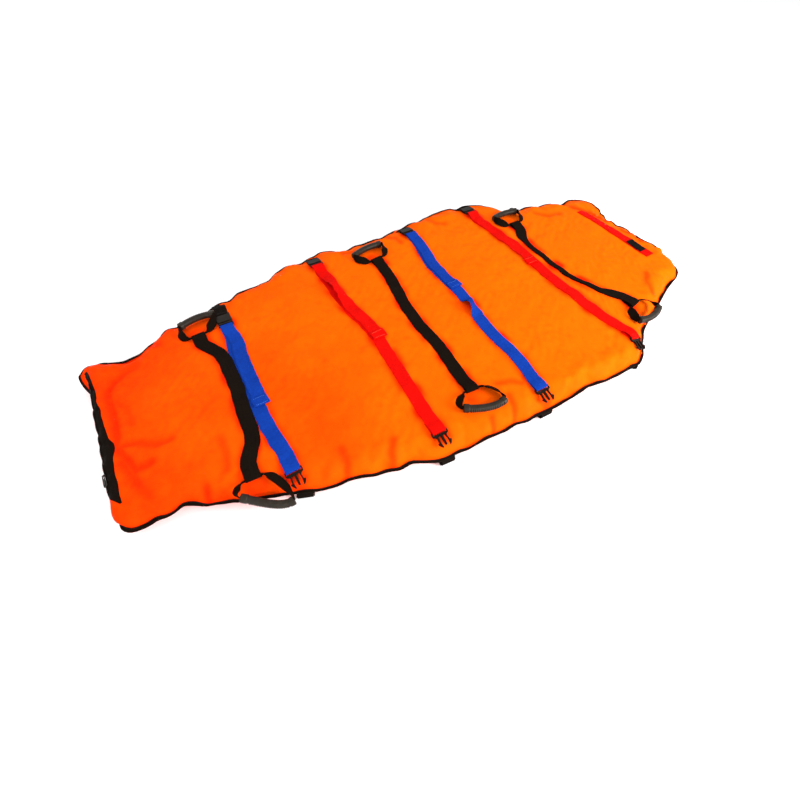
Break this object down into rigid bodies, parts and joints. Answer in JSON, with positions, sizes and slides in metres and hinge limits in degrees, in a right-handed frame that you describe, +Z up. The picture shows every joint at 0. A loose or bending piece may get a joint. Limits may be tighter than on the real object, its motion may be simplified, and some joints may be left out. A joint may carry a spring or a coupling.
{
  "type": "vacuum mattress",
  "caption": "Bead-filled rescue mattress with a tapered, shouldered plan, bound edge, buckled body straps, swinging carry handles, a valve in the side and a zip at the foot.",
  "frame": {"origin": "on the floor under the middle of the mattress's bounding box", "axes": "+X from the foot end to the head end, +Y from the near long side to the far one, +Z up"},
  "size_m": [2.0032, 0.9746, 0.1014],
  "materials": {
    "cover_fabric": "smooth coated cloth, bright orange, soft sheen",
    "bladder_film": "thin grey airtight film",
    "beads": "loose white foam beads",
    "binding_tape": "black woven tape, folded and stitched",
    "zip_tape": "black woven tape with a coil of teeth",
    "zip_metal": "dark coated metal",
    "valve_plastic": "black moulded plastic",
    "plunger_plastic": "red moulded plastic",
    "black_webbing": "black flat-woven webbing",
    "blue_webbing": "blue flat-woven webbing",
    "red_webbing": "red flat-woven webbing",
    "grip_rubber": "dark grey-brown ribbed rubber, half gloss",
    "buckle_plastic": "black moulded plastic, half gloss",
    "hook_patch": "black hook-and-loop pile"
  },
  "bodies": {
    "mattress": {"cover_top": "cover_fabric", "cover_bottom": "cover_fabric", "air_bladder": "bladder_film", "bead_fill": "beads", "edge_binding": "binding_tape", "foot_zip": "zip_tape", "valve_body": "valve_plastic", "valve_nut": "valve_plastic", "carry_strap_foot": "black_webbing", "carry_strap_chest": "black_webbing", "carry_strap_head": "black_webbing", "strap_blue_leg": "blue_webbing", "strap_red_hip": "red_webbing", "strap_blue_belly": "blue_webbing", "strap_red_chest": "red_webbing", "far_clip_blue_leg": "buckle_plastic", "far_clip_red_hip": "buckle_plastic", "far_clip_blue_belly": "buckle_plastic", "far_clip_red_chest": "buckle_plastic", "far_socket_blue_leg": "buckle_plastic", "far_socket_red_hip": "buckle_plastic", "far_socket_blue_belly": "buckle_plastic", "far_socket_red_chest": "buckle_plastic", "near_socket_blue_leg": "buckle_plastic", "near_socket_red_hip": "buckle_plastic", "near_socket_blue_belly": "buckle_plastic", "near_socket_red_chest": "buckle_plastic", "far_tab_blue_leg": "black_webbing", "far_tab_red_hip": "black_webbing", "far_tab_blue_belly": "black_webbing", "far_tab_red_chest": "black_webbing", "near_tab_blue_leg": "black_webbing", "near_tab_red_hip": "black_webbing", "near_tab_blue_belly": "black_webbing", "near_tab_red_chest": "black_webbing", "head_strap": "red_webbing", "head_strap_patch": "hook_patch"},
    "carry_handle_foot_far": {"handle_loop_foot_far": "black_webbing", "handle_grip_foot_far": "grip_rubber"},
    "carry_handle_foot_near": {"handle_loop_foot_near": "black_webbing", "handle_grip_foot_near": "grip_rubber"},
    "carry_handle_chest_far": {"handle_loop_chest_far": "black_webbing", "handle_grip_chest_far": "grip_rubber"},
    "carry_handle_chest_near": {"handle_loop_chest_near": "black_webbing", "handle_grip_chest_near": "grip_rubber"},
    "carry_handle_head_far": {"handle_loop_head_far": "black_webbing", "handle_grip_head_far": "grip_rubber"},
    "carry_handle_head_near": {"handle_loop_head_near": "black_webbing", "handle_grip_head_near": "grip_rubber"},
    "clip_blue_leg": {"near_clip_blue_leg": "buckle_plastic"},
    "clip_red_hip": {"near_clip_red_hip": "buckle_plastic"},
    "clip_blue_belly": {"near_clip_blue_belly": "buckle_plastic"},
    "clip_red_chest": {"near_clip_red_chest": "buckle_plastic"},
    "cap": {"valve_cap": "valve_plastic"},
    "plunger": {"valve_plunger": "plunger_plastic"},
    "slider": {"zip_slider": "zip_metal"}
  },
  "joints": [
    {"name": "handle_lift_foot_far", "type": "hinge", "parent": "mattress", "child": "carry_handle_foot_far", "pos_m": [-0.64607, 0.23536, 0.08455], "axis": [0.9975, 0.0698, 0.009], "range_deg": [0, 100]},
    {"name": "handle_lift_foot_near", "type": "hinge", "parent": "mattress", "child": "carry_handle_foot_near", "pos_m": [-0.65078, -0.30067, 0.0759], "axis": [-0.9916, 0.0868, -0.0956], "range_deg": [0, 100]},
    {"name": "handle_lift_chest_far", "type": "hinge", "parent": "mattress", "child": "carry_handle_chest_far", "pos_m": [0.002, 0.30927, 0.08539], "axis": [0.9903, 0.1392, -0.003], "range_deg": [0, 100]},
    {"name": "handle_lift_chest_near", "type": "hinge", "parent": "mattress", "child": "carry_handle_chest_near", "pos_m": [-0.032, -0.33768, 0.08501], "axis": [-0.9986, 0.0523, 0.0009], "range_deg": [0, 100]},
    {"name": "handle_lift_head_far", "type": "hinge", "parent": "mattress", "child": "carry_handle_head_far", "pos_m": [0.57206, 0.25328, 0.08525], "axis": [0.9993, 0.0349, -0.0093], "range_deg": [0, 100]},
    {"name": "handle_lift_head_near", "type": "hinge", "parent": "mattress", "child": "carry_handle_head_near", "pos_m": [0.63639, -0.30053, 0.08194], "axis": [-0.97, -0.2418, 0.0264], "range_deg": [0, 100]},
    {"name": "clip_lift_blue_leg", "type": "hinge", "parent": "mattress", "child": "clip_blue_leg", "pos_m": [-0.55752, -0.3281, 0.07655], "axis": [-0.9945, 0, -0.1044], "range_deg": [0, 100]},
    {"name": "clip_lift_red_hip", "type": "hinge", "parent": "mattress", "child": "clip_red_hip", "pos_m": [-0.18403, -0.4073, 0.08025], "axis": [-1, 0, -0.0067], "range_deg": [0, 100]},
    {"name": "clip_lift_blue_belly", "type": "hinge", "parent": "mattress", "child": "clip_blue_belly", "pos_m": [0.14598, -0.42333, 0.07864], "axis": [-1, 0, -0.0033], "range_deg": [0, 100]},
    {"name": "clip_lift_red_chest", "type": "hinge", "parent": "mattress", "child": "clip_red_chest", "pos_m": [0.5314, -0.40556, 0.07349], "axis": [-0.9602, 0, 0.2794], "range_deg": [0, 100]},
    {"name": "cap_turn", "type": "hinge", "parent": "mattress", "child": "cap", "pos_m": [0.65607, 0.36809, 0.0505], "axis": [0.3417, 0.9398, 0], "range_deg": [0, 90]},
    {"name": "plunger_press", "type": "slide", "parent": "mattress", "child": "plunger", "axis": [-0.3417, -0.9398, 0], "range_m": [0, 0.006], "stiffness_N_per_m": 60},
    {"name": "slider_run", "type": "slide", "parent": "mattress", "child": "slider", "axis": [0, 1, 0], "range_m": [0, 0.33]}
  ]
}
